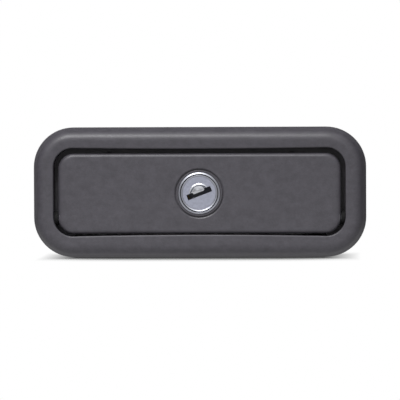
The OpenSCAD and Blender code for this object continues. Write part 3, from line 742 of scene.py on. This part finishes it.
class LOCK_OT_stage(bpy.types.Operator):
    """Sets up the floor, the light, the room and the camera"""

    bl_idname = "lock.stage"
    bl_label = "Stage"

    def execute(self, context):
        scene = context.scene
        stage = scene.lock_settings.stage
        scene.view_settings.view_transform = "Standard"
        self.lay_floor(stage)
        self.light_room(scene, stage)
        self.hang_key_light(scene, stage)
        self.set_camera(scene, stage)
        return {"FINISHED"}

    def lay_floor(self, stage):
        """A pale floor that looks white, with a soft painted shadow where the lock stands on it."""
        steps = 64
        loops = []
        for r in (0.02, 0.1, 0.3, 0.8, 2.0):
            turns = full_turn(steps)
            loops.append([Vector((r * math.cos(t), r * math.sin(t), BEZEL_LOW.z)) for t in turns])
        bm = bmesh.new()
        rings = skin(bm, loops, caps=False)
        bm.faces.new(rings[0])
        floor = mesh_object("studio_floor", bm)
        material, tree, shader = blank_finish("studio_floor")
        fill(shader, {"Base Color": stage.floor, "Roughness": 0.9, "Specular IOR Level": 0.0})
        fill(shader, {"Emission Color": WHITE})
        # painted bounce light: the floor glows to light the lock from below
        glow = self.painted_bounce_glow(tree, stage)
        tree.links.new(glow, shader.inputs["Emission Strength"])
        white = add_node(tree, "Emission")
        # painted shadow: the camera sees this emission in place of the lit floor
        tree.links.new(self.painted_contact_shadow(tree), white.inputs["Strength"])
        rays = add_node(tree, "LightPath").outputs
        seen = arithmetic(tree, "MAXIMUM", rays["Is Camera Ray"], rays["Is Transmission Ray"])
        mix = add_node(tree, "MixShader", seen, shader.outputs["BSDF"], white.outputs["Emission"])
        tree.links.new(mix.outputs["Shader"], tree.nodes["Material Output"].inputs["Surface"])
        floor.data.materials.append(material)

    def painted_bounce_glow(self, tree, stage):
        """A painted bounce light: the floor glows with light that fades out in an oval round the lock."""
        half_width = 0.075
        half_depth = 0.14
        fade = (0.75, 1.4)
        far_glow = 0.08
        fit = add_node(tree, "Mapping", add_node(tree, "TexCoord").outputs["Object"])
        fill(fit, {"Scale": (1 / half_width, 1 / half_depth, 0)})
        away = add_node(tree, "VectorMath", fit.outputs["Vector"], operation="LENGTH")
        return remap(tree, away.outputs["Value"], *fade, stage.floor_glow, far_glow)

    def painted_contact_shadow(self, tree):
        """A painted shadow: the floor's brightness as the camera sees it, dark under the lock, white beyond its
        ends.
        """
        ends = (0.044, 0.058)
        reach = 0.045
        tones = ((0.48, 0.05), (0.55, 0.07), (0.6, 0.18), (0.7, 0.52), (0.77, 0.84), (0.88, 1.0))
        contact = add_node(tree, "AmbientOcclusion", samples=32)
        fill(contact, {"Distance": reach})
        shadow = add_node(tree, "ValToRGB", contact.outputs["AO"])
        for position, tone in tones[1:-1]:
            shadow.color_ramp.elements.new(position).color = (tone, tone, tone, 1)
        for end in (0, -1):
            position, tone = tones[end]
            shadow.color_ramp.elements[end].position = position
            shadow.color_ramp.elements[end].color = (tone, tone, tone, 1)
        sideways = arithmetic(tree, "ABSOLUTE", parts_of(tree, "Object")["X"])
        return arithmetic(tree, "MAXIMUM", shadow.outputs["Color"], remap(tree, sideways, *ends))

    def light_room(self, scene, stage):
        """A room that is brighter in front of the lock, with a white backdrop behind it."""
        world = bpy.data.worlds.new("studio")
        world.use_nodes = True
        scene.world = world
        tree = world.node_tree
        room = tree.nodes["Background"]
        fill(room, {"Color": WHITE})
        white = add_node(tree, "Background")
        fill(white, {"Color": WHITE, "Strength": 1.0})
        # Parts of a direction between which the light changes: -1 is before the lock, 1 behind or over it
        front_half = (-1.0, -0.05)
        far_end = (0.76, 0.96)
        overhead = (0.6, 0.92)
        not_behind = (0.35, -0.1)
        straight_behind = (0.94, 0.985)
        parts = parts_of(tree, "Generated")
        depth = remap(tree, parts["Y"], *front_half, stage.room_front, stage.room_back, "SMOOTHSTEP")
        rear = remap(tree, parts["Y"], *far_end, 0.0, stage.rear, "SMOOTHSTEP")
        above = remap(tree, parts["Z"], *overhead, 0.0, stage.ceiling, "SMOOTHSTEP")
        before = remap(tree, parts["Y"], *not_behind)
        backdrop = remap(tree, parts["Y"], *straight_behind)
        ends = arithmetic(tree, "ADD", depth, rear)
        total = arithmetic(tree, "ADD", ends, arithmetic(tree, "MULTIPLY", above, before))
        tree.links.new(total, room.inputs["Strength"])
        rays = add_node(tree, "LightPath").outputs
        shiny = arithmetic(tree, "MAXIMUM", rays["Is Glossy Ray"], rays["Is Transmission Ray"])
        mirrored = arithmetic(tree, "MULTIPLY", backdrop, shiny)
        seen = arithmetic(tree, "MAXIMUM", mirrored, rays["Is Camera Ray"])
        mix = add_node(tree, "MixShader", seen, room.outputs["Background"], white.outputs["Background"])
        tree.links.new(mix.outputs["Shader"], tree.nodes["World Output"].inputs["Surface"])

    def outwards(self, side, height):
        """The direction from the lock to something in front of it, off to the right and above."""
        level = math.cos(height)
        return Vector((level * math.sin(side), -level * math.cos(side), math.sin(height)))

    def hang_key_light(self, scene, stage):
        """One soft light above the camera and to its left."""
        data = bpy.data.lights.new("soft_key", "AREA")
        data.shape = "RECTANGLE"
        data.size = stage.key_width
        data.size_y = stage.key_depth
        data.energy = stage.key
        lamp = bpy.data.objects.new("soft_key", data)
        away = self.outwards(-stage.key_side, stage.key_height)
        lamp.location = away * stage.key_away
        lamp.rotation_mode = "QUATERNION"
        lamp.rotation_quaternion = (-away).to_track_quat("-Z", "Y")
        scene.collection.objects.link(lamp)

    def set_camera(self, scene, stage):
        """A long lens in front of the lock, looking slightly down on it."""
        data = bpy.data.cameras.new("camera")
        data.lens = data.sensor_width * stage.distance / stage.picture
        camera = bpy.data.objects.new("camera", data)
        aim = place(stage.aim_side, stage.aim, -BEZEL_LOW.y)
        back = self.outwards(stage.side, stage.height)
        camera.location = aim + back * stage.distance
        look = (-back).to_track_quat("-Z", "Y").to_matrix()
        lean = Matrix.Rotation(stage.roll, 3, "Z")
        camera.rotation_euler = (look @ lean).to_euler()
        scene.collection.objects.link(camera)
        scene.camera = camera


class LOCK_OT_bezel(bpy.types.Operator):
    """Makes the bezel with its sloped rim and the skirt that goes into the door"""

    bl_idname = "lock.bezel"
    bl_label = "Bezel"

    def execute(self, context):
        bezel = context.scene.lock_settings.bezel
        piece = skinned_object("bezel_moulding", self.loops(bezel), around=True)
        combine(piece, self.shelf(bezel), "UNION")
        combine(piece, self.lugs(bezel), "UNION")
        combine(piece, self.holes(), "DIFFERENCE")
        finish_piece(piece, "housing", "shell", finishes()["moulded_plastic"], "bezel")
        return {"FINISHED"}

    def loops(self, bezel):
        """The section of the band and the skirt, swept round the bezel."""
        crown = bezel.slope + 0.6 * (bezel.band - bezel.slope)
        wall = bezel.band - bezel.wall
        crown_fall = 0.00004
        lip_fall = 0.00014
        bow_start = 0.6 * bezel.band
        bow_fade = (0.0025, 0.005)
        section = fillet_path(
            (
                (0, 0, 0.0002),
                (0, bezel.edge, 0.0005),
                (bezel.slope, bezel.rise, bezel.crest),
                (crown, bezel.rise - crown_fall, 0.02),
                (bezel.band, bezel.rise - lip_fall, bezel.lip),
                *((bezel.band, front, 0) for front in (0.0045, 0.0035, 0.0025)),
                (bezel.band, -bezel.depth, 0.0003),
                (wall, -bezel.depth, 0.0003),
                (wall, 0, 0.0002),
            )
        )
        top = max(p.y for p in section)
        made = []
        for inset, front in section:
            sink = smooth_step(inset, bow_start, bezel.band) * smooth_step(front, *bow_fade)
            lift = bezel.rail * sink / 2
            made.append(
                rounded_loop(
                    bezel.width / 2 - inset,
                    bezel.height / 2 - inset - lift,
                    bezel.corner - inset,
                    front + bezel.rise - top,
                    lift,
                    bow=(bezel.bow_top * sink, bezel.bow_low * sink),
                )
            )
        return made

    def lugs(self, bezel):
        """On the inside of the skirt: keeper tongue, ledges, spring pegs and cover bosses."""
        inner = bezel.height / 2 - bezel.band
        side = bezel.width / 2 - bezel.band
        root = inner + bezel.wall / 2
        keeper = ((-0.006, 0.006), (0.0102, root), (-0.01075, -0.00825))
        ledge = ((0.030, 0.036), (inner - 0.0043, root), (-0.005, -0.0022))
        peg_up = HINGE_UP + 0.00345
        peg_front = -0.005
        peg_radius = 0.0012
        peg_tip = 0.0426
        boss_ends = (-0.0115, -0.0055)
        bm = bmesh.new()
        block(bm, *keeper)
        for x in (-1, 1):
            block(bm, *ledge, side=x)
            peg = along_hinge(peg_up, peg_front, x)
            rod(bm, peg_radius, peg_tip, side + bezel.wall / 2, peg, PEG_STEPS)
            for up in (COVER_SCREW_INSET - inner, inner - COVER_SCREW_INSET):
                outline = self.boss_outline(side, up)
                skin(bm, [[place(x * across, at, front) for across, at in outline] for front in boss_ends])
        return bm

    def boss_outline(self, side, up):
        """A cover screw's boss, rounded towards the middle and rooted in the skirt's side."""
        radius = 0.0022
        root = side + 0.0005
        arc = 20
        outline = [(root, up - radius)]
        for k in range(arc + 1):
            turn = math.pi * (k / arc - 0.5)
            outline.append((COVER_SCREW_SIDE - radius * math.cos(turn), up + radius * math.sin(turn)))
        outline.append((root, up + radius))
        return outline

    def shelf(self, bezel):
        """A shallow shelf inside the skirt, behind the paddle's edge, narrower round the lower corners."""
        ends = (-0.0032, -0.00225)
        side = bezel.width / 2 - bezel.corner
        top = bezel.height / 2 - bezel.corner
        inner = bezel.corner - bezel.band
        root = inner + 0.0006
        edge = inner - 0.0028
        lower_edge = inner - 0.0014
        narrow_below = -0.0081
        wide_above = -0.0079
        turns = [math.pi / 24 * k for k in range(13)]
        outline = []
        for direction, upper, lower in ((1, root, root), (-1, edge, lower_edge)):
            half = [(side + lower * math.sin(t), -top - lower * math.cos(t)) for t in turns]
            half += [(side + lower, narrow_below), (side + upper, wide_above)]
            half += [(side + upper * math.cos(t), top + upper * math.sin(t)) for t in turns]
            line = half + [(-x, up) for x, up in reversed(half)]
            outline += line[::direction]
        bm = bmesh.new()
        skin(bm, [[place(x, up, front) for x, up in outline] for front in ends])
        return bm

    def holes(self):
        """Pilot holes for the door screws, in the back of the band."""
        radius = 0.0014
        start = -0.001
        end = 0.0036
        door = next(m for m in frame["record"]["mounts"] if m["name"] == "door_screws")["dims"]
        across = door["spacing_x_mm"] / 2000
        height = door["spacing_y_mm"] / 2000
        bm = bmesh.new()
        for x in (-across, across):
            for up in (-height, height):
                rod(bm, radius, start, end, along_front(x, up), PEG_STEPS)
        return bm


class LOCK_OT_paddle(bpy.types.Operator):
    """Makes the paddle with its rim, ribs, screw posts and hinge knuckles"""

    bl_idname = "lock.paddle"
    bl_label = "Paddle"

    def execute(self, context):
        paddle = context.scene.lock_settings.paddle
        loops = self.rim_loops(paddle) + self.collar_loops(paddle)
        piece = skinned_object("paddle_moulding", loops, around=True)
        combine(piece, self.ribs(paddle), "UNION")
        combine(piece, self.bays(), "DIFFERENCE")
        combine(piece, self.bores(paddle), "DIFFERENCE")
        finish_piece(piece, "paddle", "shell", finishes()["moulded_plastic"], "paddle")
        return {"FINISHED"}

    def rim_loops(self, paddle):
        """From the back of the front wall round the rim to the face."""
        inside = paddle.face - paddle.wall
        section = fillet_path(
            (
                (paddle.rim + 0.0012, inside, 0),
                (paddle.rim, inside, 0.0003),
                (paddle.rim, paddle.back, 0.0002),
                (0, paddle.back, 0.0003),
                (0, paddle.face, paddle.edge),
                (paddle.edge + 0.0006, paddle.face, 0),
            )
        )
        half_h = (paddle.height + paddle.reach) / 2
        middle = paddle.middle - paddle.reach / 2
        made = []
        for inset, front in section:
            on_edge = front > paddle.face - paddle.edge - SUPPORT / 2
            half_w = paddle.width / 2 - inset * (paddle.side_edge / paddle.edge if on_edge else 1)
            made.append(rounded_loop(half_w, half_h - inset, paddle.corner - inset, front, middle))
        return made

    def collar_loops(self, paddle):
        """From the face over the groove and the ring's seat, through the bore and back along the boss."""
        inside = paddle.face - paddle.wall
        floor = paddle.face - paddle.groove_depth
        seat = paddle.face - 0.0011
        land = paddle.face - 0.0001
        outer = paddle.collar - paddle.collar_lip
        inner = outer - paddle.groove
        seat_radius = 0.0076
        bore = 0.007
        boss = 0.0095
        section = fillet_path(
            (
                (paddle.collar + 0.0010, paddle.face, 0),
                (paddle.collar, paddle.face, 0.0002),
                (outer, paddle.face - 0.48 * paddle.collar_lip, 0.0001),
                (outer, floor, 0.0001),
                (inner, floor, 0.0001),
                (inner, land, 0.00015),
                (seat_radius, land, 0.00015),
                (seat_radius, seat, 0.0001),
                (bore, seat, 0.0001),
                (bore, BOSS_BACK, 0.0002),
                (boss, BOSS_BACK, 0.0002),
                (boss, inside, 0.0003),
                (boss + 0.0007, inside, 0),
            )
        )
        return [circle_loop(radius, front, paddle.middle) for radius, front in section]

    def ribs(self, paddle):
        """Ribs, screw posts, hinge knuckles and lugs behind the front wall."""
        rib_width = 0.0012
        post_radius = 0.0036
        knuckle_radius = 0.003
        wall = paddle.face - paddle.wall / 2
        low = paddle.middle - paddle.height / 2 + paddle.rim / 2
        high = paddle.middle + paddle.height / 2 - paddle.rim / 2
        rib_ends = (paddle.back + 0.002, wall)
        lug = (HINGE_UP - knuckle_radius, HINGE_UP + knuckle_radius), (HINGE_FRONT - knuckle_radius, wall)
        bm = bmesh.new()
        for x in (-1, 1):
            for rib in (0.0235, 0.02857, 0.03363):
                block(bm, (rib, rib + rib_width), (low, high), rib_ends, x)
            post = along_front(x * ARM_SCREW_SIDE, paddle.middle)
            rod(bm, post_radius, BOSS_BACK, wall, post, POST_STEPS)
            knuckle = along_hinge(HINGE_UP, HINGE_FRONT, x)
            rod(bm, knuckle_radius, KNUCKLE_START, KNUCKLE_END, knuckle, POST_STEPS)
            block(bm, (LUG_START, BAY_START), *lug, x)
        return bm

    def bays(self):
        """Room for the return springs and for the pins' clips."""
        clip_radius = 0.00215
        bay = (HINGE_UP - 0.0037, HINGE_UP + 0.00325), (-0.002, 0.00445)
        bm = bmesh.new()
        for x in (-1, 1):
            block(bm, (BAY_START, KNUCKLE_START), *bay, x)
            clip = along_hinge(HINGE_UP, HINGE_FRONT, x)
            rod(bm, clip_radius, CLIP_START, LUG_START, clip, POST_STEPS)
        return bm

    def bores(self, paddle):
        """Bores for the hinge pins and for the pawl's screws."""
        pin_radius = 0.00131
        pin_ends = (0.038, 0.052)
        screw_radius = 0.0017
        screw_ends = (-0.0035, 0.002)
        bm = bmesh.new()
        for x in (-1, 1):
            rod(bm, pin_radius, *pin_ends, along_hinge(HINGE_UP, HINGE_FRONT, x), BORE_STEPS)
            screw = along_front(x * ARM_SCREW_SIDE, paddle.middle)
            rod(bm, screw_radius, *screw_ends, screw, BORE_STEPS)
        return bm


class LOCK_OT_barrel(bpy.types.Operator):
    """Makes the threaded key barrel, its face ring and its nut"""

    bl_idname = "lock.barrel"
    bl_label = "Key barrel"

    # Front of the barrel's flange, which carries the face ring
    face = 0.00525

    def execute(self, context):
        barrel = context.scene.lock_settings.barrel
        finish = finishes()
        spot = along_front(0, barrel.middle)
        piece = skinned_object("barrel_thread", self.thread_loops(barrel), around=True)
        finish_piece(piece, "paddle", "barrel", finish["cast_zinc"], "lock_barrel")
        nut_ends = (-0.008, -0.005)
        play = 0.00003
        bm = bmesh.new()
        hex_nut(bm, barrel.nut, nut_ends, barrel.radius + play, spot, first=math.pi / 2)
        piece = mesh_object("barrel_hex", bm)
        finish_piece(piece, "paddle", "plated", finish["zinc_plate"], "barrel_nut")
        piece = turned_object("face_ring_bevels", self.ring_section(barrel), spot, RING_STEPS)
        finish_piece(piece, "paddle", "chrome", finish["satin_chrome"], "barrel_face_ring")
        # painted shade: a dark rubber ring darkens the bottom of the face ring's groove
        piece = turned_object("ring_groove_shade", self.groove_shade_section(), spot, RING_STEPS)
        finish_piece(piece, "paddle", "rubber", finish["rubber"])
        return {"FINISHED"}

    def thread_loops(self, barrel):
        """The flange, the flatted body with its thread, and the bore for the plug."""
        flange_back = 0.0047
        neck = 0.00325
        flats_start = 0.0032
        flats_run = 0.0137
        thread_start = (-0.0018, -0.0024)
        tail = -0.0109
        recess = 0.0060
        recess_floor = 0.00415
        rows = [(recess, self.face, False), (barrel.ring, self.face, False)]
        rows += [(barrel.ring, flange_back, False), (barrel.radius, flange_back, False)]
        rows += [(barrel.radius, neck, False)]
        step = barrel.pitch / 10
        rows += [(barrel.radius, flats_start - step * k, True) for k in range(int(flats_run / step))]
        rows += [(barrel.radius - barrel.thread, tail, True), (barrel.bore, tail, False)]
        rows += [(barrel.bore, recess_floor, False), (recess, recess_floor, False)]
        loops = []
        for radius, front, flatted in rows:
            cut_in = barrel.thread * smooth_step(front, *thread_start) if flatted else 0
            loop = []
            for k in range(TURN_STEPS):
                share = k / TURN_STEPS
                wave = abs(2 * ((front / barrel.pitch + share) % 1) - 1)
                reach = radius - cut_in * wave
                across = reach * math.cos(2 * math.pi * share)
                if flatted:
                    across = min(max(across, -barrel.flat), barrel.flat)
                up = reach * math.sin(2 * math.pi * share)
                loop.append(place(across, barrel.middle + up, front))
            loops.append(loop)
        return loops

    def ring_section(self, barrel):
        """A bevel that looks inwards and one that looks outwards, with a groove between them."""
        inner = 0.00605
        groove_floor = 0.00535
        crisp = 0.00004
        return fillet_path(
            (
                (inner, self.face, 0),
                (inner, 0.00531, crisp),
                (0.00653, 0.00564, crisp),
                (0.00657, groove_floor, 0),
                (0.00690, groove_floor, 0),
                (0.00694, 0.00590, crisp),
                (barrel.ring, 0.00553, 0.00006),
                (barrel.ring, self.face, 0),
            )
        )

    def groove_shade_section(self):
        """A dark rubber ring at the bottom of the ring's groove, as painted shade in the groove."""
        inner = 0.00659
        outer = 0.00688
        low = 0.00533
        top = 0.00545
        return (inner, low), (inner, top), (outer, top), (outer, low)


class LOCK_OT_plug(bpy.types.Operator):
    """Finishes the key plug, its dust shutter, its wafers and the cam on its tail"""

    bl_idname = "lock.plug"
    bl_label = "Key plug"

    def execute(self, context):
        settings = context.scene.lock_settings
        finish = finishes()
        ease = settings.finish.ease
        dress_node("key_plug", finish["satin_nickel"], ease / 2)
        dress_node("dust_shutter", finish["chrome"], ease / 2)
        for name in ("shutter_pin", "shutter_spring", "wafer_springs"):
            dress_node(name, finish["spring_steel"])
        dress_node("wafers", finish["brass"])
        for name in ("lock_cam", "cam_washer"):
            dress_node(name, finish["zinc_plate"], ease)
        screw = pan_screws(
            "cam_pan_screw",
            [(0, KEY_UP)],
            base=-0.01355,
            head=(0.0032, 0.0020),
            shank=0.0012,
            reach=0.0046,
            recess=(0.0009, 0.0012),
        )
        finish_piece(screw, "plug", "plated", finish["zinc_plate"], "cam_screw")
        bead = skinned_object("window_bead", self.bead_loops(settings.barrel))
        finish_piece(bead, "plug", "plug", finish["bright_edge"])
        return {"FINISHED"}

    def bead_loops(self, barrel):
        """A bright bead rolled over the edge of the shutter's window, widest at the top."""
        face = 0.00535
        play = 0.00002
        end_width = 0.00026
        swell = 0.00026
        steps = 40
        # The bead's section in shares of its width, from the side over the window to the outer side
        inner = -0.42
        crest = ((inner, 0.14), (-0.32, 0.32), (-0.14, 0.43), (0.1, 0.46), (0.3, 0.4), (0.6, 0.23))
        crest += ((0.96, 0.02),)
        inner_foot = -0.00002
        outer_foot = -0.00006
        start = math.asin((barrel.keyway / 2 + barrel.window_drop) / barrel.window)
        loops = []
        for k in range(steps + 1):
            turn = start + (math.pi - 2 * start) * k / steps
            width = end_width + swell * math.sin(math.pi * k / steps) ** 0.7
            section = [(inner, inner_foot)]
            section += [(share, rise * width) for share, rise in crest]
            section += [(1, outer_foot)]
            loop = []
            for share, rise in section:
                reach = barrel.window + play + width * share
                along = reach * math.cos(turn)
                above = reach * math.sin(turn) - barrel.window_drop
                across = along * math.cos(barrel.tilt) - above * math.sin(barrel.tilt)
                up = along * math.sin(barrel.tilt) + above * math.cos(barrel.tilt)
                loop.append(place(across, barrel.middle + up, face + rise))
            loops.append(loop)
        return loops


class LOCK_OT_hinge(bpy.types.Operator):
    """Finishes the hinge pins, washers, clips and return springs"""

    bl_idname = "lock.hinge"
    bl_label = "Hinge"

    def execute(self, context):
        finish = finishes()
        ease = context.scene.lock_settings.finish.ease
        for name in ("hinge_pin_left", "hinge_pin_right", "hinge_clips"):
            dress_node(name, finish["spring_steel"], ease / 2)
        for side, name in ((-1, "left"), (1, "right")):
            self.return_spring(side, name, finish["spring_steel"])
        dress_node("hinge_washers", finish["nylon"], ease)
        return {"FINISHED"}

    def return_spring(self, side, name, steel):
        """A torsion spring: one leg rests on the bezel's peg, the other pushes on the paddle."""
        coil = 0.00185
        thickness = 0.00035
        outer = 0.0442
        inner = 0.04108
        turns = 4.25
        steps = int(48 * turns)
        peg_leg = -0.0065 - HINGE_FRONT
        paddle_leg = -0.003
        path = [(outer, coil, peg_leg)]
        for k in range(steps + 1):
            share = k / steps
            turn = 2 * math.pi * turns * share
            path.append((outer + (inner - outer) * share, coil * math.cos(turn), coil * math.sin(turn)))
        path.append((inner, paddle_leg, coil))
        bm = bmesh.new()
        wire(bm, [place(side * x, HINGE_UP + up, HINGE_FRONT + front) for x, up, front in path], thickness)
        piece = mesh_object("spring_wire_" + name, bm)
        paint(piece, steel)
        piece.data.set_sharp_from_angle(angle=math.radians(50))
        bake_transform(piece)
        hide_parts("return_spring_" + name)


class LOCK_OT_pawl(bpy.types.Operator):
    """Finishes the pawl's arm, hook and pad with their screws and nuts"""

    bl_idname = "lock.pawl"
    bl_label = "Pawl"

    def execute(self, context):
        finish = finishes()
        ease = context.scene.lock_settings.finish.ease
        for name in ("pawl_arm", "pawl_hook"):
            dress_node(name, finish["zinc_plate"], ease)
        dress_node("pawl_pad", finish["rubber"], 2 * ease)
        screws = pan_screws(
            "arm_pan_screws",
            [(-ARM_SCREW_SIDE, KEY_UP), (ARM_SCREW_SIDE, KEY_UP)],
            base=-0.005,
            head=(0.0034, 0.0022),
            shank=0.00168,
            reach=0.0069,
            recess=(0.0010, 0.0013),
        )
        finish_piece(screws, "paddle", "plated", finish["zinc_plate"], "pawl_arm_screws")
        self.hook_fasteners(finish["zinc_plate"])
        return {"FINISHED"}

    def hook_fasteners(self, plate):
        """Socket screws that hold the hook to the arm, with their hexagon nuts."""
        side = 0.0046
        front = -0.0194
        head_top = -0.0154
        head_low = head_top - 0.0022
        head = 0.0033
        chamfer = 0.0003
        socket = 0.0014
        socket_floor = head_top - 0.0009
        shank = 0.0020
        nut_flats = 0.0070
        nut_bore = 0.00202
        nut_low = -0.0104
        nut_top = nut_low + 0.0032
        tip = nut_low + 0.0036
        section = [(socket, socket_floor), (socket + 0.00005, head_low)]
        section += [(head - chamfer, head_low), (head, head_low + chamfer), (head, head_top)]
        section += [(shank, head_top), (shank, tip - chamfer), (shank - chamfer, tip)]
        screws = bmesh.new()
        nuts = bmesh.new()
        for x in (-side, side):
            spot = along_door(x, front)
            turned(screws, section, spot, SOCKET_STEPS)
            hex_nut(nuts, nut_flats, (nut_low, nut_top), nut_bore, spot)
        piece = mesh_object("hook_socket_screws", screws)
        finish_piece(piece, "paddle", "plated", plate, "hook_screws")
        piece = mesh_object("hook_hex_nuts", nuts)
        finish_piece(piece, "paddle", "plated", plate, "hook_nuts")


class LOCK_OT_cover(bpy.types.Operator):
    """Finishes the back cover with its screws, the gasket and the paddle's stops"""

    bl_idname = "lock.cover"
    bl_label = "Cover and seals"

    def execute(self, context):
        settings = context.scene.lock_settings
        finish = finishes()
        ease = settings.finish.ease
        dress_node("back_cover", finish["pale_plastic"], ease)
        height = settings.bezel.height / 2 - settings.bezel.band - COVER_SCREW_INSET
        screws = pan_screws(
            "cover_pan_screws",
            [(x, up) for x in (-COVER_SCREW_SIDE, COVER_SCREW_SIDE) for up in (-height, height)],
            base=-0.013,
            head=(0.0019, 0.0011),
            shank=0.00098,
            reach=0.0059,
            recess=(0.0006, 0.0007),
        )
        finish_piece(screws, "housing", "plated", finish["zinc_plate"], "cover_screws")
        dress_node("bezel_gasket", finish["rubber"], ease)
        dress_node("paddle_bumpers", finish["grey_rubber"], ease)
        return {"FINISHED"}


OPERATORS = (
    LOCK_OT_stage,
    LOCK_OT_bezel,
    LOCK_OT_paddle,
    LOCK_OT_barrel,
    LOCK_OT_plug,
    LOCK_OT_hinge,
    LOCK_OT_pawl,
    LOCK_OT_cover,
)


class LOCK_PT_panel(bpy.types.Panel):
    """Lists the lock's pieces and their settings"""

    bl_idname = "LOCK_PT_panel"
    bl_label = "Compression Lock"
    bl_space_type = "VIEW_3D"
    bl_region_type = "UI"
    bl_category = "Compression Lock"

    def draw(self, context):
        settings = context.scene.lock_settings
        for operator in OPERATORS:
            self.layout.operator(operator.bl_idname)
        for group in (settings.bezel, settings.paddle, settings.barrel, settings.finish, settings.stage):
            box = self.layout.box()
            for name in group.__annotations__:
                box.prop(group, name)


CLASSES = (
    BezelSettings,
    PaddleSettings,
    BarrelSettings,
    FinishSettings,
    StageSettings,
    LockSettings,
    *OPERATORS,
    LOCK_PT_panel,
)


def register():
    for cls in CLASSES:
        bpy.utils.register_class(cls)
    bpy.types.Scene.lock_settings = PointerProperty(type=LockSettings)


def unregister():
    del bpy.types.Scene.lock_settings
    for cls in reversed(CLASSES):
        bpy.utils.unregister_class(cls)


def main():
    register()
    for operator in OPERATORS:
        group, name = operator.bl_idname.split(".")
        getattr(getattr(bpy.ops, group), name)()


if __name__ == "__main__":
    main()
